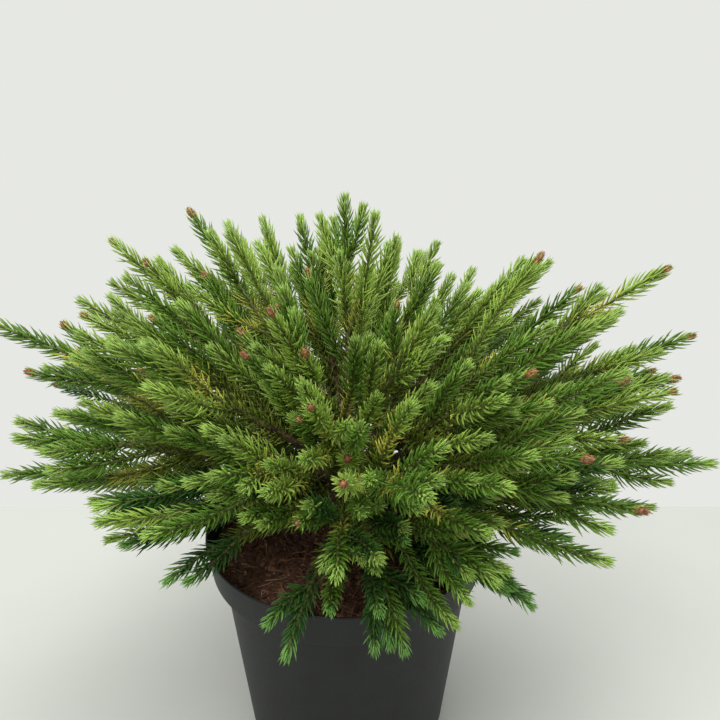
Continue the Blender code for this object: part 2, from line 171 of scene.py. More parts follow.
# How needles stand, by distance before the shoot's tip in metres
LEAN_KNOTS = (0.0, 0.012, 0.035, 0.08, 0.16)
LEAN_DEGREES = (20, 35, 47, 55, 66)
LEAN_WOBBLE = 0.10
LENGTH_KNOTS = (0.0, 0.010, 0.030, 0.14)
LENGTH_SHARES = (0.55, 0.85, 1.0, 0.92)
LENGTH_WOBBLE = (0.85, 1.1)
PLACE_WOBBLE = 0.0006
TURN_WOBBLE = 0.2
FORWARD_WOBBLE = 0.05
TIP_ROOM = 0.002
NEEDLE_FOOT = 0.0008
NEEDLE_ROOM = 0.0005
ROSETTE_COUNT = 18
ROSETTE_LEAN = (44.0, 8.0)
ROSETTE_LENGTHS = (0.62, 0.40)
ROSETTE_DROP = 0.003
NEEDLES_A_PIECE = 11000

# Where the tones of needles change, and how often each kind of shoot comes up in each tier
JOINT_BEFORE_TIP = (0.050, 0.090)
JOINT_WIDTH = 0.013
JOINT_SHORTENING = 0.35
JOINT_WOBBLE = 0.004
OLDEST_YEAR = 0.075
TIP_FRESH = 0.014
TIP_WOBBLE = 0.003
BUDDED_FRESH_SHARE = 0.55
DEAD_BEFORE_TIP = 0.11
DEAD_SHARE = 0.06
TONES = ("fresh", "leaf", "shade", "old", "deep", "golden", "lime", "mint", "brown")
# Painted light and shade: in the middle, upper and crown tiers a shoot's leafy tone is often a lighter
# green that stands for sunlight, and in the skirt and low tiers often a darker green that stands for shade.
LEAFY_TONES = {
    "skirt": ("leaf", "shade", "shade"),
    "low": ("leaf", "shade", "leaf"),
    "middle": ("fresh", "leaf", "leaf"),
    "upper": ("fresh", "leaf", "fresh"),
    "crown": ("fresh", "leaf"),
}
GOLDEN_CHANCE = {"skirt": 0.05, "low": 0.20, "middle": 0.55, "upper": 0.65, "crown": 0.60}
BUD_CHANCE = {"skirt": 0.0, "low": 0.03, "middle": 0.12, "upper": 0.16, "crown": 0.16}
LOWEST_BUD = 0.06
# Limbs whose leading shoot ends in a bud
BUDDED_LIMBS = (9, 14, 23, 24, 25, 31, 33, 34, 35, 36, 37, 39, 42)
BUD_DROP = 0.003
BUD_SIZES = (0.7, 1.1)
BUD_SLIMNESS = 0.78
BUD_SEED = 77
TONE_SEED = 2300
SHOOT_SEED_STEP = 5000

# Wood: rings along and sides round each kind, and the radii at its ends
STEM_RINGS = 110
STEM_SIDES = 40
STEM_SUNK = 0.004
BOUGH_RINGS = 40
BOUGH_SIDES = 14
BOUGH_RELIEF = 0.00022
LEADER_RINGS = 26
LEADER_SIDES = 7
LEADER_ROOT_SHARE = 0.95
LEADER_TIP_RADIUS = 0.0007
TWIG_RINGS = 14
TWIG_SIDES = 5
TWIG_TIP_RADIUS = 0.0006
FINE_TWIG_SHARE = 0.85
LEADER_OVERLAP = 0.002
RIDGE_WAVES = (3, 5, 8)
RIDGE_TWIST = (20, 90)
RIDGE_SHARE = 2.2
ROUGH_SHARE = 0.55
STEM_SEED = 5

# Pot and potting mix
POT_STEPS = 160
COLLAR_STEP = 0.0008
RIM_LIP = 0.0010
RIM_BAND = (0.0004, 0.0024)
RIM_INNER_DROP = 0.0003
RIM_INNER_BAND = (0.0006, 0.003)
INNER_STEP = (0.0014, 0.0005)
ROUNDING = 0.0009
EASED_SHARE = 0.45
SOIL_FLAT_RADIUS = 0.022
SOIL_SWELL_RADIUS = 0.044
SOIL_SWELL = 0.0035
SOIL_EDGE = 0.1049
SOIL_SHOULDER = 0.026
SOIL_STEP = (0.0020, 0.0009)
SOIL_SLACK = (0.0009, 0.0006, 0.0008)
SOIL_FOOT = 0.0012
SOIL_RINGS = 60
SOIL_STEPS = 128
CRUST = 0.0012
CRUST_FADE = 0.004
ABOVE_ALL = 1.0
ON_AXIS = 1e-9
CHIP_SEED = 31
STEM_AREA_SHARE = 0.015
CHIP_REACH = (0.32, 0.5)
CHIP_BREADTH = 0.6
CHIP_CORNER_WOBBLE = 0.2
CHIP_TOP_WOBBLE = 0.04
CHIP_RINGS = (0.9, 1.05, 0.8)
CHIP_CENTRES = (-0.55, 0.62)
CHIP_LIFT = 0.10
CHIP_TILT = 0.28
FIBRE_RINGS = 6
FIBRE_RADIUS = 0.018
FIBRE_SWAY = 0.10
FIBRE_RISE = 0.06
# Each kind's name, its share of the chips, its tint of the soil's colour and its sizes in chip lengths
CHIP_KINDS = (
    ("dark chips", 0.52, (0.75, 0.60, 0.55), (0.5, 1.15)),
    ("red chips", 0.24, (1.9, 1.7, 1.4), (0.4, 1.0)),
    ("pale flecks", 0.08, (3.4, 4.6, 6.0), (0.20, 0.42)),
    ("fibres", 0.16, (2.8, 3.2, 3.4), (0.7, 2.2)),
)

# One needle, in shares of its length: the heights of its rings with their shares of its width
NEEDLE_BEND = 0.22
NEEDLE_RINGS = ((0.0, 0.8), (0.35, 1.0), (0.72, 0.72))

# One bud, in shares of its length: the heights and reaches of the body's rings and of the rings of scales,
# with how many scales stand in each, and a scale's corners by their turn, reach and lift
BUD_SIDES = 10
BUD_BODY = ((0.0, 0.13), (0.15, 0.28), (0.40, 0.33), (0.66, 0.25), (0.86, 0.12))
BUD_ENDS = (-0.04, 0.97)
BUD_SCALES = ((0.10, 0.27, 6), (0.34, 0.33, 7), (0.58, 0.28, 6))
BUD_SCALE_CORNERS = ((-2.2, 0.98, 0.0), (2.2, 0.98, 0.0), (0.0, 1.10, 0.0), (0.0, 1.16, 0.34))

# Finishes: how far the mottle and the gloss spread, and how much finer the relief is than the mottle
MOTTLE_SPAN = (0.32, 0.68)
GLOSS_SPREAD = 0.08
FINE_NOISE = 9.0
MOTTLE_DETAIL = 6.0
RELIEF_DETAIL = 4.0
RELIEF_STRENGTH = 0.6

# Stage
FLOOR_REACH = 2.5
FLOOR_END = 0.32
SKY_COLOUR = (0.84, 0.85, 0.82, 1.0)
SKY_STRENGTH = 0.95
LAMPS = (
    dict(name="key", place=(-0.55, -0.75, 1.7), power=15.0, width=1.1),
    dict(name="top", place=(0.3, 0.1, 1.9), power=17.0, width=1.2),
)
LAMP_AIM = (0.0, 0.0, 0.25)
LENS = 39.25
CAMERA_PLACE = (0.011, -0.527, 0.5453)
CAMERA_DIP = math.radians(22.2)
CAD_NAMES = frozenset(thing.name for thing in bpy.data.objects)


def unit(vector):
    """A vector made one long."""
    return vector / np.linalg.norm(vector)


def arc(start, middle, end, count):
    """Points along a curve that leaves start towards middle and comes in to end from middle."""
    t = np.linspace(0.0, 1.0, count)[:, None]
    return (1 - t) ** 2 * start + 2 * t * (1 - t) * middle + t * t * end


def path_length(path):
    """How long a run of points is."""
    return float(np.linalg.norm(np.diff(path, axis=0), axis=1).sum())


def along(path, distances):
    """The points at the given distances along a path."""
    steps = np.linalg.norm(np.diff(path, axis=0), axis=1)
    run = np.concatenate(([0.0], np.cumsum(steps)))
    return np.stack([np.interp(distances, run, path[:, axis]) for axis in range(3)], axis=1)


def stem_point(height):
    """The middle of the stem at a height over the soil."""
    share = height / STEM_HEIGHT
    return np.array([STEM_LEAN[0] * share, STEM_LEAN[1] * share * share, SOIL_LEVEL + height])


def at_bearing(bearing, reach, height):
    """A point at a bearing in degrees, a reach from the middle and a height over the floor."""
    angle = math.radians(bearing)
    return np.array([reach * math.cos(angle), reach * math.sin(angle), height])


def limb_path(tier, index, shift, swing):
    """The way of one limb, from inside the stem to its tip. Steeper limbs leave the stem higher up."""
    bearing, reach, rise = tier["tips"][index]
    end = at_bearing(bearing, reach, POT_HEIGHT + rise)
    slope = math.atan2(end[2] - stem_point(STEM_HEIGHT / 2)[2], reach)
    foot = LOWEST_FOOT + FOOT_SPAN * (slope - FLATTEST) / (STEEPEST - FLATTEST) + shift
    start = stem_point(foot)
    aside = at_bearing(bearing + 90, swing, 0.0)
    middle = (start + end) / 2 + np.array([0.0, 0.0, tier["arch"]]) + aside
    return arc(start, middle, end, LIMB_POINTS)


def outside_stem(path):
    """A finely divided copy of a path, less what lies inside the stem."""
    fine = along(path, np.linspace(0.0, path_length(path), CLEARANCE_POINTS))
    heights = np.clip(fine[:, 2] - SOIL_LEVEL, 0.0, STEM_HEIGHT)
    knots, radii = zip(*STEM_RADII)
    middles = np.array([stem_point(height) for height in heights])
    return fine[np.linalg.norm(fine - middles, axis=1) > np.interp(heights, knots, radii)]


def place_limbs():
    """Give each limb a foot on the stem, moved until its way is clear of those placed before it."""
    placed = []
    limbs = []
    for tier_name, tier in TIERS.items():
        for index in range(len(tier["tips"])):
            for shift, swing in FOOT_CHOICES:
                path = limb_path(tier, index, shift, swing)
                fine = outside_stem(path)
                spans = [np.linalg.norm(fine[:, None] - other[None], axis=2).min() for other in placed]
                if not spans or min(spans) > 2 * LIMB_RADIUS + GAP:
                    break
            else:
                raise ValueError(f"limb {tier_name} {index + 1} finds no clear way, {min(spans):.4f}")
            placed.append(fine)
            limbs.append((f"{tier_name}_{index + 1}", path, tier["tips"][index][1] > BOUGH_REACH))
    return limbs


def in_dome(point):
    """Whether a side shoot's tip lies within the rounded outline of the crown."""
    offset = point - np.array(DOME_MIDDLE)
    height = DOME_TOP if offset[2] > 0 else DOME_DROP
    return (offset[0] ** 2 + offset[1] ** 2) / DOME_RADIUS ** 2 + offset[2] ** 2 / height ** 2 < 1.0


def side_path(path, share, roll, spread, length):
    """The way of a side shoot: it leaves its leader at a share of the way and bends back to its course."""
    last = len(path) - 1
    place = int(round(share * last))
    tangent = unit(path[min(place + 1, last)] - path[max(place - 1, 0)])
    side = unit(np.cross(tangent, np.array([0.0, 0.0, 1.0])))
    over = np.cross(side, tangent)
    away = math.cos(roll) * side + math.sin(roll) * over
    leave = math.cos(spread) * tangent + math.sin(spread) * away
    bent = spread * (1.0 - SIDE_BEND)
    finish = math.cos(bent) * tangent + math.sin(bent) * away
    elbow = path[place] + leave * length * ELBOW_SHARE
    return arc(path[place], elbow, elbow + finish * length * (1.0 - ELBOW_SHARE), SIDE_POINTS)


def side_paths(path, chance, shares, spreads, lengths, wobble):
    """The ways of side shoots of one leader, each cut back until its tip is inside the crown's outline."""
    whole = path_length(path)
    turn = chance.uniform(0.0, 2 * math.pi)
    found = []
    for share in shares:
        turn += GOLDEN_ANGLE
        roll = turn + chance.uniform(-wobble, wobble) if wobble else turn
        spread = chance.uniform(*spreads)
        length = whole * (1.0 - share) * chance.uniform(*lengths)
        way = side_path(path, share, roll, spread, length)
        while not in_dome(way[-1]) and length > SHORTEST_SIDE:
            length *= CUT_BACK
            way = side_path(path, share, roll, spread, length)
        found.append(way)
    return found


def frames(points):
    """A tangent and two square directions at each point, carried along without twisting."""
    tangents = np.gradient(points, axis=0)
    tangents /= np.linalg.norm(tangents, axis=1)[:, None]
    normals = [unit(np.cross(tangents[0], np.array([0.3, 0.2, 1.0])))]
    for tangent in tangents[1:]:
        normals.append(unit(normals[-1] - tangent * np.dot(normals[-1], tangent)))
    normals = np.array(normals)
    return tangents, normals, np.cross(tangents, normals)


def hits_pot(points, room):
    """Which points lie in the soil or the pot's wall, grown by some room."""
    reach = np.hypot(points[:, 0], points[:, 1])
    in_soil = (reach < RIM_RADIUS) & (points[:, 2] < SOIL_LEVEL + room)
    on_rim = (reach > RIM_RADIUS - WALL - room) & (reach < RIM_RADIUS + room)
    return in_soil | (on_rim & (points[:, 2] < POT_HEIGHT + room))


def all_shoots():
    """Every shoot as it would grow in the open. Order 0 leads, 1 is a side shoot and 2 a finer one."""
    shoots = []
    for limb, (name, path, has_bough) in enumerate(place_limbs()):
        tier = name.split("_")[0]
        bare = path_length(path) * (BOUGH_BARE_SHARE if has_bough else STEM_BARE_SHARE)
        shoots.append(dict(path=path, bare=bare, tier=tier, order=0, limb=limb))
        chance = np.random.default_rng(FIRST_SEED + limb)
        for way in side_paths(path, chance, SIDE_SHARES, SIDE_SPREAD, SIDE_LENGTH, SIDE_WOBBLE):
            shoots.append(dict(path=way, bare=SIDE_BARE, tier=tier, order=1, limb=limb))
        chance = np.random.default_rng(FINE_SEED + limb)
        for way in side_paths(path, chance, FINE_SHARES, FINE_SPREAD, FINE_LENGTH, 0.0):
            shoots.append(dict(path=way, bare=SIDE_BARE, tier=tier, order=2, limb=limb))
    return shoots


def has_room(shoot):
    """Whether a side shoot is clear of the pot and the soil, and of the gap in the skirt on the left."""
    if shoot["order"] == 0:
        return True
    if shoot["order"] == 2 and shoot["limb"] in OPEN_SKIRT_LIMBS:
        return False
    tail = shoot["path"][len(shoot["path"]) // 2:]
    return not (hits_pot(tail, ROOM_OVER_SOIL).any() or hits_pot(shoot["path"], ROOM_AT_FOOT).any())


@functools.cache
def grow_crown():
    """Every shoot that has room, with its tones and whether it ends in a bud."""
    kept = []
    for number, shoot in enumerate(all_shoots()):
        if not has_room(shoot):
            continue
        tier = shoot["tier"]
        chance = np.random.default_rng(TONE_SEED + number)
        by_chance = chance.random() < BUD_CHANCE[tier] and shoot["path"][-1][2] > POT_HEIGHT + LOWEST_BUD
        shoot["bud"] = shoot["limb"] in BUDDED_LIMBS if shoot["order"] == 0 else by_chance
        shoot["joint"] = chance.uniform(*JOINT_BEFORE_TIP)
        shoot["golden"] = chance.random() < GOLDEN_CHANCE[tier]
        shoot["leafy"] = chance.choice(LEAFY_TONES[tier])
        shoot["seed"] = TONE_SEED + SHOOT_SEED_STEP + number
        kept.append(shoot)
    return kept


def quaternions(x, y, z):
    """Rotations, as quaternions, whose axes are the given unit vectors."""
    m00, m11, m22 = x[:, 0], y[:, 1], z[:, 2]
    w = np.sqrt(np.maximum(0.0, 1 + m00 + m11 + m22)) / 2
    qx = np.sqrt(np.maximum(0.0, 1 + m00 - m11 - m22)) / 2
    qy = np.sqrt(np.maximum(0.0, 1 - m00 + m11 - m22)) / 2
    qz = np.sqrt(np.maximum(0.0, 1 - m00 - m11 + m22)) / 2
    qx = np.copysign(qx, y[:, 2] - z[:, 1])
    qy = np.copysign(qy, z[:, 0] - x[:, 2])
    qz = np.copysign(qz, x[:, 1] - y[:, 0])
    return np.stack([w, qx, qy, qz], axis=1)


def turned_axes(direction, towards):
    """Three unit axes with Z along each direction and Y leaning towards the given vectors."""
    y = towards - direction * np.sum(towards * direction, axis=1)[:, None]
    y /= np.linalg.norm(y, axis=1)[:, None]
    return np.cross(y, direction), y, direction


def directions_at(values, knots, at):
    """Directions read between knots and made one long again."""
    found = np.stack([np.interp(at, knots, values[:, axis]) for axis in range(3)], axis=1)
    return found / np.linalg.norm(found, axis=1)[:, None]


def leaning(tangents, outward, lean):
    """Directions that lean out from the tangents by the given angles."""
    return outward * np.sin(lean)[:, None] + tangents * np.cos(lean)[:, None]


def needle_tones(shoot, before, chance):
    """Each needle's tone, by its distance before the shoot's tip."""
    count = len(before)
    tones = np.full(count, TONES.index(shoot["leafy"]))
    tones[before > shoot["joint"] + chance.normal(0.0, JOINT_WOBBLE, count)] = TONES.index("old")
    # The oldest needles, far inside the crown, get a green darkened partly for their age and partly as
    # painted shade.
    tones[before > shoot["joint"] + OLDEST_YEAR] = TONES.index("deep")
    if shoot["golden"]:
        from_joint = np.abs(before - shoot["joint"] + chance.normal(0.0, JOINT_WOBBLE, count))
        tones[from_joint < JOINT_WIDTH] = TONES.index("golden")
    fresh = TIP_FRESH * (BUDDED_FRESH_SHARE if shoot["bud"] else 1.0)
    tones[before < fresh + chance.normal(0.0, TIP_WOBBLE, count)] = tip_tone(shoot)
    tones[(before > DEAD_BEFORE_TIP) & (chance.random(count) < DEAD_SHARE)] = TONES.index("brown")
    return tones


def tip_tone(shoot):
    """The tone of the newest needles, bluer on the shaded skirt."""
    return TONES.index("mint" if shoot["tier"] == "skirt" else "lime")


def needles_of(shoot, sizes):
    """Places, rotations, lengths and tones of all the needles on one shoot."""
    chance = np.random.default_rng(shoot["seed"])
    path = shoot["path"]
    whole = path_length(path)
    count = int((whole - shoot["bare"]) * sizes.needles_per_m)
    evenly = np.linspace(shoot["bare"], whole - TIP_ROOM, count)
    at = np.sort(evenly + chance.uniform(-PLACE_WOBBLE, PLACE_WOBBLE, count))
    before = whole - at
    knots = np.linspace(0.0, whole, len(path))
    tangents, normals, sides = (directions_at(values, knots, at) for values in frames(along(path, knots)))
    angle = GOLDEN_ANGLE * np.arange(count) + chance.uniform(-TURN_WOBBLE, TURN_WOBBLE, count)
    outward = np.cos(angle)[:, None] * normals + np.sin(angle)[:, None] * sides
    lean = np.interp(before, LEAN_KNOTS, np.radians(LEAN_DEGREES)) + chance.normal(0.0, LEAN_WOBBLE, count)
    at_joint = np.exp(-((before - shoot["joint"]) / JOINT_WIDTH) ** 2)
    lengths = sizes.needle_length * np.interp(before, LENGTH_KNOTS, LENGTH_SHARES)
    lengths *= (1.0 - JOINT_SHORTENING * at_joint) * chance.uniform(*LENGTH_WOBBLE, count)
    directions = leaning(tangents, outward, lean)
    places = along(path, at) + outward * NEEDLE_FOOT
    tones = needle_tones(shoot, before, chance)
    if not shoot["bud"]:
        angle = GOLDEN_ANGLE * np.arange(ROSETTE_COUNT)
        around = np.cos(angle)[:, None] * normals[-1] + np.sin(angle)[:, None] * sides[-1]
        ahead = np.repeat(tangents[-1:], ROSETTE_COUNT, axis=0)
        lean = np.radians(np.linspace(*ROSETTE_LEAN, ROSETTE_COUNT))
        directions = np.concatenate((directions, leaning(ahead, around, lean)))
        places = np.concatenate((places, path[-1] - ahead * ROSETTE_DROP))
        tangents = np.concatenate((tangents, ahead))
        shares = np.linspace(*ROSETTE_LENGTHS, ROSETTE_COUNT)
        lengths = np.concatenate((lengths, sizes.needle_length * shares))
        tones = np.concatenate((tones, np.full(ROSETTE_COUNT, tip_tone(shoot))))
    toward = tangents + chance.normal(0.0, FORWARD_WOBBLE, tangents.shape)
    x, y, z = turned_axes(directions / np.linalg.norm(directions, axis=1)[:, None], toward)
    clear = ~hits_pot(places + z * lengths[:, None], NEEDLE_ROOM)
    return places[clear], quaternions(x, y, z)[clear], lengths[clear], tones[clear]


def plain_mesh(name, verts, faces, smooth=False):
    """A mesh from arrays of corners and faces."""
    mesh = bpy.data.meshes.new(name)
    mesh.from_pydata(np.asarray(verts).tolist(), [], [list(face) for face in faces])
    mesh.polygons.foreach_set("use_smooth", [smooth] * len(mesh.polygons))
    mesh.update()
    return mesh


def add_piece(name, mesh, material, replaced=()):
    """Put a finished mesh in the scene as a piece that rides on the object."""
    mesh.materials.clear()
    mesh.materials.append(material)
    piece = bpy.data.objects.new(name, mesh)
    bpy.context.scene.collection.objects.link(piece)
    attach(piece, "root")
    if replaced:
        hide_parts(*replaced)
    return piece


def cad_nodes(start):
    """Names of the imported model's nodes that begin with the given word."""
    return sorted(name for name in CAD_NAMES if name.startswith(start))


def mottle(nodes, links, source, colour, darkest):
    """A colour that wanders between a darker and a lighter kind of itself, by a noise."""
    ramp = nodes.new("ShaderNodeValToRGB")
    low, high = ramp.color_ramp.elements
    low.position, high.position = MOTTLE_SPAN
    low.color = (*[part * darkest for part in colour], 1.0)
    high.color = (*[min(1.0, part * (2.0 - darkest)) for part in colour], 1.0)
    links.new(source, ramp.inputs["Fac"])
    return ramp.outputs["Color"]


def noise(nodes, links, vector, scale, detail):
    """The value of a noise of a given scale."""
    made = nodes.new("ShaderNodeTexNoise")
    made.inputs["Scale"].default_value = scale
    made.inputs["Detail"].default_value = detail
    links.new(vector, made.inputs["Vector"])
    return made.outputs["Fac"]


def surface(name, colour, scale, darkest, roughness, bump, stretch=(1.0, 1.0, 1.0), specular=0.5):
    """A mottled colour, an uneven gloss and a fine relief, all from noises in Object coordinates."""
    made = bpy.data.materials.new(name)
    made.use_nodes = True
    nodes = made.node_tree.nodes
    links = made.node_tree.links
    shader = nodes["Principled BSDF"]
    place = nodes.new("ShaderNodeTexCoord")
    mapping = nodes.new("ShaderNodeMapping")
    mapping.inputs["Scale"].default_value = stretch
    links.new(place.outputs["Object"], mapping.inputs["Vector"])
    broad = noise(nodes, links, mapping.outputs["Vector"], scale, MOTTLE_DETAIL)
    fine = noise(nodes, links, mapping.outputs["Vector"], scale * FINE_NOISE, RELIEF_DETAIL)
    links.new(mottle(nodes, links, broad, colour, darkest), shader.inputs["Base Color"])
    gloss = nodes.new("ShaderNodeMapRange")
    gloss.inputs["To Min"].default_value = roughness - GLOSS_SPREAD
    gloss.inputs["To Max"].default_value = min(1.0, roughness + GLOSS_SPREAD)
    links.new(fine, gloss.inputs["Value"])
    links.new(gloss.outputs["Result"], shader.inputs["Roughness"])
    relief = nodes.new("ShaderNodeBump")
    relief.inputs["Strength"].default_value = RELIEF_STRENGTH
    relief.inputs["Distance"].default_value = bump
    links.new(fine, relief.inputs["Height"])
    links.new(relief.outputs["Normal"], shader.inputs["Normal"])
    shader.inputs["Specular IOR Level"].default_value = specular
    return made


def named_value(nodes, name, kind):
    """The value of a point attribute, for use in a node group."""
    made = nodes.new("GeometryNodeInputNamedAttribute")
    made.data_type = kind
    made.inputs["Name"].default_value = name
    return made.outputs["Attribute"]


def set_on_points_tree():
    """A node group that sets one small mesh on every point, turned and sized by the point's own values."""
    tree = bpy.data.node_groups.new("Set on points", "GeometryNodeTree")
    face = tree.interface
    face.new_socket("Geometry", in_out="INPUT", socket_type="NodeSocketGeometry")
    face.new_socket("Item", in_out="INPUT", socket_type="NodeSocketObject")
    face.new_socket("Scale", in_out="INPUT", socket_type="NodeSocketFloat").default_value = 1.0
    face.new_socket("Material", in_out="INPUT", socket_type="NodeSocketMaterial")
    face.new_socket("Geometry", in_out="OUTPUT", socket_type="NodeSocketGeometry")
    nodes = tree.nodes
    links = tree.links
    entry = nodes.new("NodeGroupInput")
    leave = nodes.new("NodeGroupOutput")
    item = nodes.new("GeometryNodeObjectInfo")
    item.inputs["As Instance"].default_value = True
    grow = nodes.new("ShaderNodeVectorMath")
    grow.operation = "SCALE"
    place = nodes.new("GeometryNodeInstanceOnPoints")
    real = nodes.new("GeometryNodeRealizeInstances")
    coat = nodes.new("GeometryNodeSetMaterial")
    links.new(entry.outputs["Item"], item.inputs["Object"])
    links.new(entry.outputs["Geometry"], place.inputs["Points"])
    links.new(item.outputs["Geometry"], place.inputs["Instance"])
    links.new(named_value(nodes, "turn", "QUATERNION"), place.inputs["Rotation"])
    links.new(named_value(nodes, "size", "FLOAT_VECTOR"), grow.inputs[0])
    links.new(entry.outputs["Scale"], grow.inputs["Scale"])
    links.new(grow.outputs["Vector"], place.inputs["Scale"])
    links.new(place.outputs["Instances"], real.inputs["Geometry"])
    links.new(real.outputs["Geometry"], coat.inputs["Geometry"])
    links.new(entry.outputs["Material"], coat.inputs["Material"])
    links.new(coat.outputs["Geometry"], leave.inputs["Geometry"])
    return tree


def set_on_points(name, item_mesh, places, turns, lengths, scale, material):
    """One plain mesh of many copies of a unit-long mesh, one on each place, made by the node group."""
    tree = bpy.data.node_groups.get("Set on points") or set_on_points_tree()
    points = bpy.data.meshes.new(name + " points")
    points.from_pydata(np.asarray(places).tolist(), [], [])
    turn = points.attributes.new("turn", "QUATERNION", "POINT")
    turn.data.foreach_set("value", np.asarray(turns, dtype=np.float32).ravel())
    sizes = np.repeat(np.asarray(lengths)[:, None], 3, axis=1)
    size = points.attributes.new("size", "FLOAT_VECTOR", "POINT")
    size.data.foreach_set("vector", sizes.astype(np.float32).ravel())
    item = bpy.data.objects.new(name + " item", item_mesh)
    holder = bpy.data.objects.new(name + " holder", points)
    bpy.context.scene.collection.objects.link(item)
    bpy.context.scene.collection.objects.link(holder)
    values = {"Item": item, "Scale": scale, "Material": material}
    modifier = holder.modifiers.new("Set", "NODES")
    modifier.node_group = tree
    for socket in tree.interface.items_tree:
        if socket.in_out == "INPUT" and socket.name in values:
            modifier[socket.identifier] = values[socket.name]
    graph = bpy.context.evaluated_depsgraph_get()
    made = bpy.data.meshes.new_from_object(holder.evaluated_get(graph))
    made.name = name
    holder.modifiers.remove(modifier)
    for spare in (holder, item):
        bpy.data.objects.remove(spare)
    if not made.polygons:
        raise ValueError(f"{name} came out empty")
    for attribute in ("turn", "size"):
        if attribute in made.attributes:
            made.attributes.remove(made.attributes[attribute])
    return made


def ring_faces(first, second, sides):
    """Faces between two rings of corners, given by their first corners, that point outwards."""
    turns = [(corner, (corner + 1) % sides) for corner in range(sides)]
    return [(first + corner, first + after, second + after, second + corner) for corner, after in turns]


def fan_faces(first, sides, top):
    """Faces from a ring of corners up to one corner, that point outwards."""
    return [(first + corner, first + (corner + 1) % sides, top) for corner in range(sides)]


def needle_mesh(width):
    """One needle of unit length along Z that curves towards Y: three sides that run to a point."""
    verts = []
    for height, share in NEEDLE_RINGS:
        bend = NEEDLE_BEND * height * height
        for corner in range(3):
            angle = math.radians(90 + 120 * corner)
            reach = width * share * 0.5
            verts.append((math.cos(angle) * reach, math.sin(angle) * reach + bend, height))
    verts.append((0.0, NEEDLE_BEND, 1.0))
    faces = [(2, 1, 0), *ring_faces(0, 3, 3), *ring_faces(3, 6, 3), *fan_faces(6, 3, 9)]
    return plain_mesh("needle", verts, faces, True)


def bud_mesh():
    """One scaly bud of unit length along Z: a plump body with three rings of pointed scales."""
    verts = []
    for height, reach in BUD_BODY:
        for corner in range(BUD_SIDES):
            angle = 2 * math.pi * corner / BUD_SIDES
            out = reach * BUD_SLIMNESS
            verts.append((math.cos(angle) * out, math.sin(angle) * out, height))
    foot = len(verts)
    verts += [(0.0, 0.0, height) for height in BUD_ENDS]
    last = (len(BUD_BODY) - 1) * BUD_SIDES
    faces = [tuple(reversed(face)) for face in fan_faces(0, BUD_SIDES, foot)]
    faces += fan_faces(last, BUD_SIDES, foot + 1)
    for start in range(0, last, BUD_SIDES):
        faces += ring_faces(start, start + BUD_SIDES, BUD_SIDES)
    for row, (height, reach, count) in enumerate(BUD_SCALES):
        for scale in range(count):
            angle = 2 * math.pi * (scale + 0.5 * row) / count
            first = len(verts)
            for turn, out, lift in BUD_SCALE_CORNERS:
                where = angle + turn / count
                out *= reach * BUD_SLIMNESS
                verts.append((math.cos(where) * out, math.sin(where) * out, height + lift))
            faces += [(first, first + 2, first + 3), (first + 2, first + 1, first + 3)]
            faces += [(first, first + 1, first + 2), (first + 1, first, first + 3)]
    return plain_mesh("bud", verts, faces, True)


def chip_mesh(name, chance, sides, thick):
    """One flake of potting bark: an uneven flat lump of unit length."""
    wobble = chance.uniform(-CHIP_CORNER_WOBBLE, CHIP_CORNER_WOBBLE, sides)
    angles = np.linspace(0, 2 * math.pi, sides, endpoint=False) + wobble
    reach = chance.uniform(*CHIP_REACH, sides)
    across = np.sin(angles) * reach * CHIP_BREADTH
    ring = np.stack([np.cos(angles) * reach, across, np.zeros(sides)], axis=1)
    lower, middle, upper = (ring * share for share in CHIP_RINGS)
    lower = lower - [0, 0, thick / 2]
    upper = upper + [0, 0, thick / 2] + chance.uniform(-CHIP_TOP_WOBBLE, CHIP_TOP_WOBBLE, ring.shape)
    ends = [[0, 0, thick * height] for height in CHIP_CENTRES]
    verts = np.concatenate((lower, middle, upper, ends))
    faces = [*ring_faces(0, sides, sides), *ring_faces(sides, 2 * sides, sides)]
    faces += [tuple(reversed(face)) for face in fan_faces(0, sides, 3 * sides)]
    faces += fan_faces(2 * sides, sides, 3 * sides + 1)
    return plain_mesh(name, verts, faces)


def fibre_mesh():
    """One thin bent strip of coir, of unit length."""
    verts = []
    for share in np.linspace(0, 1, FIBRE_RINGS):
        for corner in range(3):
            angle = 2 * math.pi * corner / 3
            across = FIBRE_SWAY * math.sin(share * 4) + FIBRE_RADIUS * math.cos(angle)
            up = FIBRE_RISE * math.sin(share * 3.1) + FIBRE_RADIUS * math.sin(angle)
            verts.append((share - 0.5, across, up))
    last = 3 * (FIBRE_RINGS - 1)
    faces = [(2, 1, 0), (last, last + 1, last + 2)]
    for start in range(0, last, 3):
        faces += ring_faces(start, start + 3, 3)
    return plain_mesh("fibre", verts, faces)


def tube_arrays(points, radii, sides, relief, seed):
    """Corners and faces of a closed tube along a path, with long uneven ridges where it has a relief."""
    tangents, normals, across = frames(points)
    angles = np.linspace(0, 2 * math.pi, sides, endpoint=False)
    chance = np.random.default_rng(seed)
    run = np.concatenate(([0.0], np.cumsum(np.linalg.norm(np.diff(points, axis=0), axis=1))))
    reach = np.repeat(np.asarray(radii)[:, None], sides, axis=1)
    if relief:
        for waves in RIDGE_WAVES:
            phase = chance.uniform(0, 2 * math.pi) + chance.uniform(*RIDGE_TWIST) * run
            reach = reach + relief * RIDGE_SHARE / waves * np.sin(waves * angles[None] + phase[:, None])
        reach = reach + chance.uniform(-relief, relief, reach.shape) * ROUGH_SHARE
    cosines = np.cos(angles)[None, :, None]
    sines = np.sin(angles)[None, :, None]
    ring = cosines * normals[:, None] + sines * across[:, None]
    verts = (points[:, None] + ring * reach[:, :, None]).reshape(-1, 3)
    verts = np.concatenate((verts, points[:1], points[-1:] + tangents[-1:] * radii[-1] * 0.5))
    foot = len(points) * sides
    faces = []
    for start in range(0, foot - sides, sides):
        faces += ring_faces(start, start + sides, sides)
    faces += [tuple(reversed(face)) for face in fan_faces(0, sides, foot)]
    faces += fan_faces(foot - sides, sides, foot + 1)
    return verts, faces


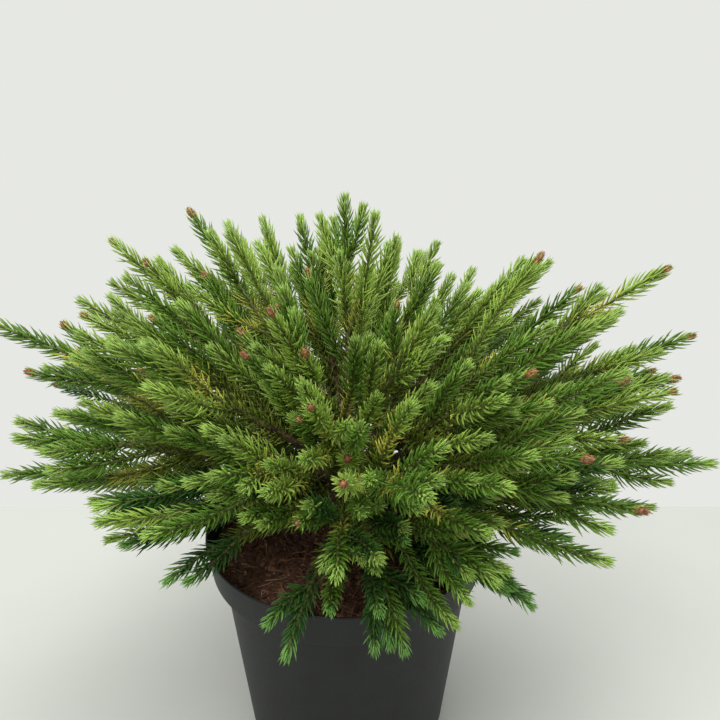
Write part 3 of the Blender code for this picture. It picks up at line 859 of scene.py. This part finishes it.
def tubes_mesh(name, tubes):
    """One mesh of many tubes, given as arrays of corners and faces."""
    verts = []
    faces = []
    start = 0
    for corners, around in tubes:
        verts.append(corners)
        faces += [[corner + start for corner in face] for face in around]
        start += len(corners)
    return plain_mesh(name, np.concatenate(verts), faces, True)


def turned_mesh(name, profile, sides):
    """A closed turned solid. The profile is a closed run of (reach, height), with the middle at reach 0."""
    verts = []
    rings = []
    for reach, height in profile:
        first = len(verts)
        if reach < ON_AXIS:
            verts.append((0.0, 0.0, height))
            rings.append([first] * sides)
            continue
        for step in range(sides):
            angle = 2 * math.pi * step / sides
            verts.append((reach * math.cos(angle), reach * math.sin(angle), height))
        rings.append(list(range(first, first + sides)))
    faces = []
    for here, there in zip(rings, rings[1:] + rings[:1]):
        if here[0] == here[1] and there[0] == there[1]:
            continue
        for step in range(sides):
            after = (step + 1) % sides
            corners = [there[step], there[after], here[after], here[step]]
            faces.append([corner for place, corner in enumerate(corners) if corner not in corners[:place]])
    mesh = plain_mesh(name, verts, faces, True)
    work = bmesh.new()
    work.from_mesh(mesh)
    bmesh.ops.recalc_face_normals(work, faces=work.faces)
    work.to_mesh(mesh)
    work.free()
    return mesh


def rounded(corners, radius, steps=4):
    """A run of points with each corner between its ends eased by a short curve."""
    points = [corners[0]]
    for before, corner, after in zip(corners, corners[1:], corners[2:]):
        corner = np.array(corner)
        back = np.array(before) - corner
        on = np.array(after) - corner
        room = min(radius, EASED_SHARE * np.linalg.norm(back), EASED_SHARE * np.linalg.norm(on))
        eased = arc(corner + unit(back) * room, corner, corner + unit(on) * room, steps)
        points += [tuple(point) for point in eased]
    points.append(corners[-1])
    return points


def length_property(name, description, default, least, most):
    """A length in metres that a user may change."""
    return bpy.props.FloatProperty(
        name=name, description=description, default=default, min=least, max=most, unit="LENGTH")


def colour_property(name, description, default):
    """A colour that a user may change."""
    return bpy.props.FloatVectorProperty(
        name=name, description=description, default=default, min=0.0, max=1.0, size=3, subtype="COLOR")


class CedarSizes(bpy.types.PropertyGroup):
    """Sizes and numbers of the plant's small things"""

    needle_length: length_property("Needle length", "Length of a full-grown needle", 0.0138, 0.004, 0.03)
    needle_width: bpy.props.FloatProperty(
        name="Needle width", description="Width of a needle as a share of its length", default=0.122,
        min=0.03, max=0.3, subtype="FACTOR")
    needles_per_m: bpy.props.FloatProperty(
        name="Needles per metre", description="How many needles stand on a metre of shoot", default=1350.0,
        min=100.0, max=3000.0, subtype="UNSIGNED")
    twig_radius: length_property(
        "Twig radius", "Radius of a side shoot where it leaves its limb", 0.0015, 0.0003, 0.004)
    bud_length: length_property(
        "Bud length", "Length of a brown bud at the end of a shoot", 0.0098, 0.002, 0.03)
    bark_relief: length_property(
        "Bark relief", "Depth of the ridges of the stem's bark", 0.0007, 0.0, 0.003)
    chip_length: length_property(
        "Chip length", "Length of a large chip of potting bark", 0.0100, 0.002, 0.03)
    chip_count: bpy.props.IntProperty(
        name="Chips", description="How many chips of potting bark lie on the soil", default=2600, min=100,
        max=8000)


class CedarColours(bpy.types.PropertyGroup):
    """Colours of the pot, the wood, the soil, the buds, the floor and each tone of needles"""

    pot: colour_property("Pot", "Colour of the pot's plastic", (0.0080, 0.0090, 0.0092))
    soil: colour_property("Soil", "Colour of the potting mix", (0.115, 0.055, 0.030))
    bark: colour_property("Bark", "Colour of the stem and the older boughs", (0.105, 0.060, 0.034))
    twigs: colour_property("Twigs", "Colour of the young green wood", (0.110, 0.120, 0.030))
    buds: colour_property("Buds", "Colour of the buds' scales", (0.300, 0.125, 0.050))
    floor: colour_property("Floor", "Colour of the plain floor", (0.555, 0.565, 0.530))
    # Painted light: a lighter green that stands for sunlight on the shoots of the middle, upper and crown
    # tiers.
    fresh: colour_property("Fresh needles", "Colour of the brightest grown needles", (0.300, 0.440, 0.070))
    leaf: colour_property("Leaf needles", "Colour of most grown needles", (0.125, 0.245, 0.026))
    shade: colour_property("Shaded needles", "Colour of needles on shaded shoots", (0.040, 0.120, 0.018))
    old: colour_property("Old needles", "Colour of the needles of the year before", (0.150, 0.210, 0.022))
    # Partly painted shade: the oldest needles' green, darkened also for the shade far inside the crown.
    deep: colour_property("Deep needles", "Colour of the oldest needles inside", (0.024, 0.060, 0.010))
    golden: colour_property("Golden needles", "Colour of needles at a yearly joint", (0.560, 0.570, 0.090))
    lime: colour_property("Lime needles", "Colour of new needles at a tip", (0.310, 0.470, 0.090))
    # Painted shade: a darker, bluer kind of the lime green, for the new needles on the shaded skirt.
    mint: colour_property("Mint needles", "Colour of new needles on the skirt", (0.180, 0.380, 0.080))
    brown: colour_property("Brown needles", "Colour of dead needles", (0.160, 0.080, 0.030))


class AddPot(bpy.types.Operator):
    """Add the round nursery pot with its wide collar and rounded rim"""

    bl_idname = "cedar.add_pot"
    bl_label = "Pot"

    def execute(self, context):
        collar_foot = POT_HEIGHT - COLLAR_HEIGHT
        outside = [
            (0.0, 0.0),
            (BASE_RADIUS, 0.0),
            (BODY_FOOT_RADIUS, BASE_CHAMFER_HEIGHT),
            (BODY_TOP_RADIUS, collar_foot - COLLAR_STEP),
            (COLLAR_FOOT_RADIUS, collar_foot),
            (RIM_RADIUS - RIM_BAND[0], POT_HEIGHT - RIM_BAND[1]),
            (RIM_RADIUS, POT_HEIGHT - RIM_LIP),
            (RIM_RADIUS - RIM_LIP, POT_HEIGHT),
        ]
        inside = [
            (RIM_RADIUS - WALL, POT_HEIGHT - RIM_INNER_DROP),
            (RIM_RADIUS - WALL - RIM_INNER_BAND[0], POT_HEIGHT - RIM_INNER_BAND[1]),
            (COLLAR_FOOT_RADIUS - WALL, collar_foot + INNER_STEP[0]),
            (BODY_TOP_RADIUS - WALL, collar_foot + INNER_STEP[1]),
            (BODY_FOOT_RADIUS - WALL, BASE_CHAMFER_HEIGHT + WALL / 2),
            (BASE_RADIUS - WALL / 2, WALL),
            (0.0, WALL),
        ]
        mesh = turned_mesh("pot shell", rounded(outside + inside, ROUNDING), POT_STEPS)
        colour = context.scene.cedar_colours.pot
        plastic = surface(
            "pot plastic", colour, scale=60.0, darkest=0.82, roughness=0.58, bump=0.00008, specular=0.32)
        add_piece("pot_shell", mesh, plastic, cad_nodes("pot"))
        return {"FINISHED"}


def soil_height(x, y):
    """The height of the potting mix: a low swell round the stem and an uneven crust."""
    reach = np.hypot(x, y)
    knots = (0.0, SOIL_FLAT_RADIUS, SOIL_SWELL_RADIUS, SOIL_EDGE - SOIL_SHOULDER, SOIL_EDGE)
    swell = np.interp(reach, knots, (0.0, 0.0, SOIL_SWELL, SOIL_SWELL, 0.0))
    crust = np.sin(190 * x + 3 * np.sin(130 * y)) * np.cos(170 * y + 2 * np.sin(210 * x))
    return SOIL_LEVEL + swell + CRUST * crust * np.clip((SOIL_EDGE - reach) / CRUST_FADE, 0.0, 1.0)


def soil_bed():
    """The body of the potting mix, which fills the pot and has an uneven top."""
    collar_foot = POT_HEIGHT - COLLAR_HEIGHT
    profile = [(reach, ABOVE_ALL) for reach in np.linspace(0.0, SOIL_EDGE, SOIL_RINGS)]
    profile += [
        (COLLAR_FOOT_RADIUS - WALL - SOIL_SLACK[0], collar_foot + SOIL_STEP[0]),
        (BODY_TOP_RADIUS - WALL - SOIL_SLACK[1], collar_foot + SOIL_STEP[1]),
        (BODY_FOOT_RADIUS - WALL - SOIL_SLACK[2], BASE_CHAMFER_HEIGHT + SOIL_FOOT),
        (BASE_RADIUS - WALL, WALL + GAP),
        (0.0, WALL + GAP),
    ]
    mesh = turned_mesh("soil bed", profile, SOIL_STEPS)
    for vert in mesh.vertices:
        if vert.co.z > ABOVE_ALL * 0.9:
            vert.co.z = soil_height(vert.co.x, vert.co.y)
    return mesh


def lie_on_soil(chance, count, chip_length, sizes):
    """Places, rotations and lengths of things strewn on the soil, nearly level and turned at random."""
    reach = (SOIL_EDGE - CRUST_FADE) * np.sqrt(chance.uniform(STEM_AREA_SHARE, 1.0, count))
    angle = chance.uniform(0, 2 * math.pi, count)
    lengths = chip_length * chance.uniform(*sizes, count)
    reach = np.minimum(reach, SOIL_EDGE - lengths * 0.5)
    x = reach * np.cos(angle)
    y = reach * np.sin(angle)
    z = soil_height(x, y) + lengths * chance.uniform(0.0, CHIP_LIFT, count)
    aside = [chance.normal(0, CHIP_TILT, count) for axis in range(2)]
    up = np.stack([*aside, np.ones(count)], axis=1)
    up /= np.linalg.norm(up, axis=1)[:, None]
    yaw = chance.uniform(0, 2 * math.pi, count)
    toward = np.stack([np.cos(yaw), np.sin(yaw), np.zeros(count)], axis=1)
    return np.stack([x, y, z], axis=1), quaternions(*turned_axes(up, toward)), lengths


class AddSoil(bpy.types.Operator):
    """Add the potting mix, with flakes of bark, pale flecks and coir fibres on it"""

    bl_idname = "cedar.add_soil"
    bl_label = "Soil"

    def execute(self, context):
        sizes = context.scene.cedar_sizes
        colour = context.scene.cedar_colours.soil
        mix = surface("potting mix", colour, scale=240.0, darkest=0.45, roughness=0.90, bump=0.0012)
        add_piece("soil_bed", soil_bed(), mix, cad_nodes("soil"))
        chance = np.random.default_rng(CHIP_SEED)
        items = (
            chip_mesh("dark chip", chance, 7, 0.22),
            chip_mesh("red chip", chance, 6, 0.16),
            chip_mesh("pale fleck", chance, 5, 0.30),
            fibre_mesh(),
        )
        for item, (name, share, tint, spans) in zip(items, CHIP_KINDS):
            count = int(sizes.chip_count * share)
            places, turns, lengths = lie_on_soil(chance, count, sizes.chip_length, spans)
            tinted = [min(0.9, part * by) for part, by in zip(colour, tint)]
            coat = surface(name, tinted, scale=300.0, darkest=0.5, roughness=0.85, bump=0.0004)
            made = set_on_points(name, item, places, turns, lengths, 1.0, coat)
            add_piece("soil_" + name.replace(" ", "_"), made, coat)
        return {"FINISHED"}


def stem_tube(relief):
    """The stem, sunk a little into the soil."""
    heights = np.linspace(-STEM_SUNK, STEM_HEIGHT, STEM_RINGS)
    knots, radii = zip(*STEM_RADII)
    points = np.array([stem_point(max(height, 0.0)) + [0, 0, min(height, 0.0)] for height in heights])
    reach = np.interp(heights, knots, radii) - relief * 0.5
    return tube_arrays(points, reach, STEM_SIDES, relief, STEM_SEED)


class AddWood(bpy.types.Operator):
    """Add the stem and the boughs with their barks, and the young twigs that carry the needles"""

    bl_idname = "cedar.add_wood"
    bl_label = "Stem, boughs and twigs"

    def execute(self, context):
        sizes = context.scene.cedar_sizes
        colours = context.scene.cedar_colours
        boughs = []
        twigs = []
        for number, shoot in enumerate(grow_crown()):
            path = shoot["path"]
            whole = path_length(path)
            if shoot["order"] == 0:
                cut = whole * BOUGH_SHARE
                near = along(path, np.linspace(0.0, cut, BOUGH_RINGS))
                radii = np.linspace(BOUGH_ROOT_RADIUS, BOUGH_TIP_RADIUS, BOUGH_RINGS)
                boughs.append(tube_arrays(near, radii, BOUGH_SIDES, BOUGH_RELIEF, number))
                far = along(path, np.linspace(cut - LEADER_OVERLAP, whole, LEADER_RINGS))
                radii = np.linspace(BOUGH_TIP_RADIUS * LEADER_ROOT_SHARE, LEADER_TIP_RADIUS, LEADER_RINGS)
                twigs.append(tube_arrays(far, radii, LEADER_SIDES, 0.0, number))
                continue
            root = sizes.twig_radius * (1.0 if shoot["order"] == 1 else FINE_TWIG_SHARE)
            way = along(path, np.linspace(0.0, whole, TWIG_RINGS))
            radii = np.linspace(root, TWIG_TIP_RADIUS, TWIG_RINGS)
            twigs.append(tube_arrays(way, radii, TWIG_SIDES, 0.0, number))
        bark = surface(
            "bark", colours.bark, scale=130.0, darkest=0.4, roughness=0.88, bump=0.0010,
            stretch=(1.0, 1.0, 0.35))
        stem = tubes_mesh("stem bark", [stem_tube(sizes.bark_relief)])
        add_piece("stem_bark", stem, bark, cad_nodes("stem"))
        add_piece("bough_bark", tubes_mesh("bough bark", boughs), bark, cad_nodes("bough"))
        young = surface("young wood", colours.twigs, scale=160.0, darkest=0.55, roughness=0.70, bump=0.0004)
        add_piece("twigs", tubes_mesh("twigs", twigs), young)
        return {"FINISHED"}


class AddNeedles(bpy.types.Operator):
    """Add every needle of the crown, one piece or a few for each tone of green, gold or brown"""

    bl_idname = "cedar.add_needles"
    bl_label = "Needles"

    def execute(self, context):
        sizes = context.scene.cedar_sizes
        grown = [needles_of(shoot, sizes) for shoot in grow_crown()]
        places, turns, lengths, tones = (np.concatenate(values) for values in zip(*grown))
        replaced = cad_nodes("mass")
        for number, tone in enumerate(TONES):
            chosen = np.flatnonzero(tones == number)
            colour = getattr(context.scene.cedar_colours, tone)
            coat = surface(
                tone + " needles", colour, scale=45.0, darkest=0.72, roughness=0.46, bump=0.0002,
                specular=0.42)
            for part, start in enumerate(range(0, len(chosen), NEEDLES_A_PIECE)):
                some = chosen[start:start + NEEDLES_A_PIECE]
                name = f"needles_{tone}_{part + 1}"
                item = needle_mesh(sizes.needle_width)
                made = set_on_points(name, item, places[some], turns[some], lengths[some], 1.0, coat)
                add_piece(name, made, coat, replaced)
                replaced = ()
        return {"FINISHED"}


class AddBuds(bpy.types.Operator):
    """Add the scaly brown buds that end many of the upper and outer shoots"""

    bl_idname = "cedar.add_buds"
    bl_label = "Buds"

    def execute(self, context):
        chance = np.random.default_rng(BUD_SEED)
        ended = [shoot["path"] for shoot in grow_crown() if shoot["bud"]]
        ways = np.array([unit(path[-1] - path[-2]) for path in ended])
        places = np.array([path[-1] for path in ended]) - ways * BUD_DROP
        turns = quaternions(*turned_axes(ways, chance.normal(0, 1, ways.shape)))
        lengths = context.scene.cedar_sizes.bud_length * chance.uniform(*BUD_SIZES, len(ended))
        colour = context.scene.cedar_colours.buds
        coat = surface("bud scales", colour, scale=420.0, darkest=0.40, roughness=0.62, bump=0.0005)
        made = set_on_points("buds", bud_mesh(), places, turns, lengths, 1.0, coat)
        add_piece("buds", made, coat)
        return {"FINISHED"}


def add_lamp(name, place, power, width):
    """A wide soft lamp that looks at the plant."""
    light = bpy.data.lights.new(name, "AREA")
    light.energy = power
    light.size = width
    lamp = bpy.data.objects.new(name, light)
    lamp.location = place
    lamp.rotation_euler = (Vector(LAMP_AIM) - Vector(place)).to_track_quat("-Z", "Y").to_euler()
    bpy.context.scene.collection.objects.link(lamp)


class SetStage(bpy.types.Operator):
    """Set the pale floor, the soft light and the camera"""

    bl_idname = "cedar.set_stage"
    bl_label = "Floor, light and camera"

    def execute(self, context):
        scene = context.scene
        corners = [(-FLOOR_REACH, -FLOOR_REACH, 0), (FLOOR_REACH, -FLOOR_REACH, 0)]
        corners += [(FLOOR_REACH, FLOOR_END, 0), (-FLOOR_REACH, FLOOR_END, 0)]
        mesh = plain_mesh("floor", corners, [(0, 1, 2, 3)])
        colour = scene.cedar_colours.floor
        mesh.materials.append(
            surface("floor", colour, scale=3.0, darkest=0.97, roughness=0.75, bump=0.00002))
        floor = bpy.data.objects.new("floor", mesh)
        scene.collection.objects.link(floor)
        world = bpy.data.worlds.new("pale light")
        world.use_nodes = True
        background = world.node_tree.nodes["Background"]
        background.inputs["Color"].default_value = SKY_COLOUR
        background.inputs["Strength"].default_value = SKY_STRENGTH
        scene.world = world
        for lamp in LAMPS:
            add_lamp(**lamp)
        scene.view_settings.view_transform = "Standard"
        lens = bpy.data.cameras.new("camera")
        lens.lens = LENS
        lens.clip_start = 0.01
        camera = bpy.data.objects.new("camera", lens)
        camera.location = CAMERA_PLACE
        camera.rotation_euler = (math.radians(90) - CAMERA_DIP, 0.0, 0.0)
        scene.collection.objects.link(camera)
        scene.camera = camera
        return {"FINISHED"}


class CedarPanel(bpy.types.Panel):
    """Sizes, colours and pieces of the plant in the 3D view's sidebar"""

    bl_idname = "VIEW3D_PT_cedar"
    bl_label = "Potted cedar"
    bl_space_type = "VIEW_3D"
    bl_region_type = "UI"
    bl_category = "Cedar"

    def draw(self, context):
        column = self.layout.column()
        for group in (context.scene.cedar_sizes, context.scene.cedar_colours):
            for name in type(group).__annotations__:
                column.prop(group, name)
        for operator in OPERATORS:
            column.operator(operator.bl_idname)


OPERATORS = (AddPot, AddSoil, AddWood, AddNeedles, AddBuds, SetStage)
CLASSES = (CedarSizes, CedarColours, *OPERATORS, CedarPanel)


def register():
    """Add the classes and the settings to Blender."""
    for kind in CLASSES:
        bpy.utils.register_class(kind)
    bpy.types.Scene.cedar_sizes = bpy.props.PointerProperty(type=CedarSizes)
    bpy.types.Scene.cedar_colours = bpy.props.PointerProperty(type=CedarColours)


def unregister():
    """Take the settings and the classes out of Blender again."""
    del bpy.types.Scene.cedar_colours
    del bpy.types.Scene.cedar_sizes
    for kind in reversed(CLASSES):
        bpy.utils.unregister_class(kind)


def main():
    """Build every piece and the stage."""
    register()
    bpy.ops.cedar.add_pot()
    bpy.ops.cedar.add_soil()
    bpy.ops.cedar.add_wood()
    bpy.ops.cedar.add_needles()
    bpy.ops.cedar.add_buds()
    bpy.ops.cedar.set_stage()


if __name__ == "__main__":
    main()
